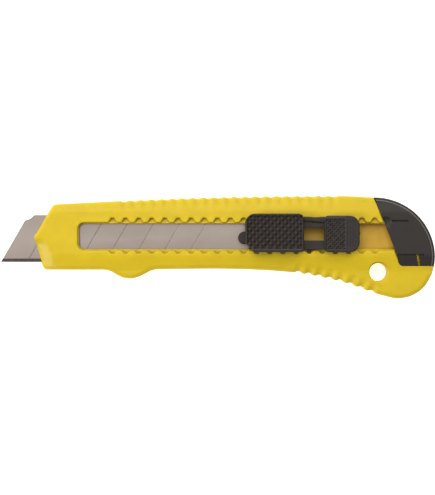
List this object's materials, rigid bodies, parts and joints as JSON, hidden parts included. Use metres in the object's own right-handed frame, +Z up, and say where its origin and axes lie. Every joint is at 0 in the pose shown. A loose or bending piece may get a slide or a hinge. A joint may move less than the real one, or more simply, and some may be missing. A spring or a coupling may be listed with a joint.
{
  "type": "utility knife",
  "caption": "Snap-off utility knife: slotted plastic handle, ratcheting thumb slider, scored steel blade and a pull-off snapper cap at the tail.",
  "frame": {"origin": "on the surface the knife lies on, under the middle of its bounding box", "axes": "+X from the blade's tip to the tail, +Y towards the blade's spine, +Z up out of the face that carries the slider"},
  "size_m": [0.166, 0.0392, 0.0129],
  "materials": {
    "yellow_plastic": "moulded, soft gloss",
    "black_plastic": "moulded, satin",
    "cap_plastic": "moulded, satin",
    "blade_steel": "ground"
  },
  "bodies": {
    "handle": {"handle_body": "yellow_plastic"},
    "slider": {"blade": "blade_steel", "blade_holder": "black_plastic", "thumb_slider": "black_plastic"},
    "spring_arm": {"ratchet_spring_arm": "black_plastic"},
    "pawl_leaf": {"ratchet_pawl_leaf": "black_plastic"},
    "end_cap": {"end_cap": "cap_plastic"}
  },
  "joints": [
    {"name": "slider_slide", "type": "slide", "parent": "handle", "child": "slider", "axis": [-1, 0, 0], "range_m": [-0.02, 0.06], "deforming": ["ratchet_spring_arm", "ratchet_pawl_leaf"]},
    {"name": "spring_arm_flex", "type": "hinge", "parent": "slider", "child": "spring_arm", "pos_m": [0.0405, 0.0104, 0.0098], "axis": [0, 0, 1], "range_deg": [0, 4], "stiffness_Nm_per_rad": 0.02},
    {"name": "pawl_leaf_flex", "type": "hinge", "parent": "slider", "child": "pawl_leaf", "pos_m": [0.041, 0.0002, 0.0086], "axis": [0, 0, 1], "range_deg": [-9, 0], "stiffness_Nm_per_rad": 0.02},
    {"name": "end_cap_pull", "type": "slide", "parent": "handle", "child": "end_cap", "axis": [1, 0, 0], "range_m": [0, 0.025]}
  ]
}
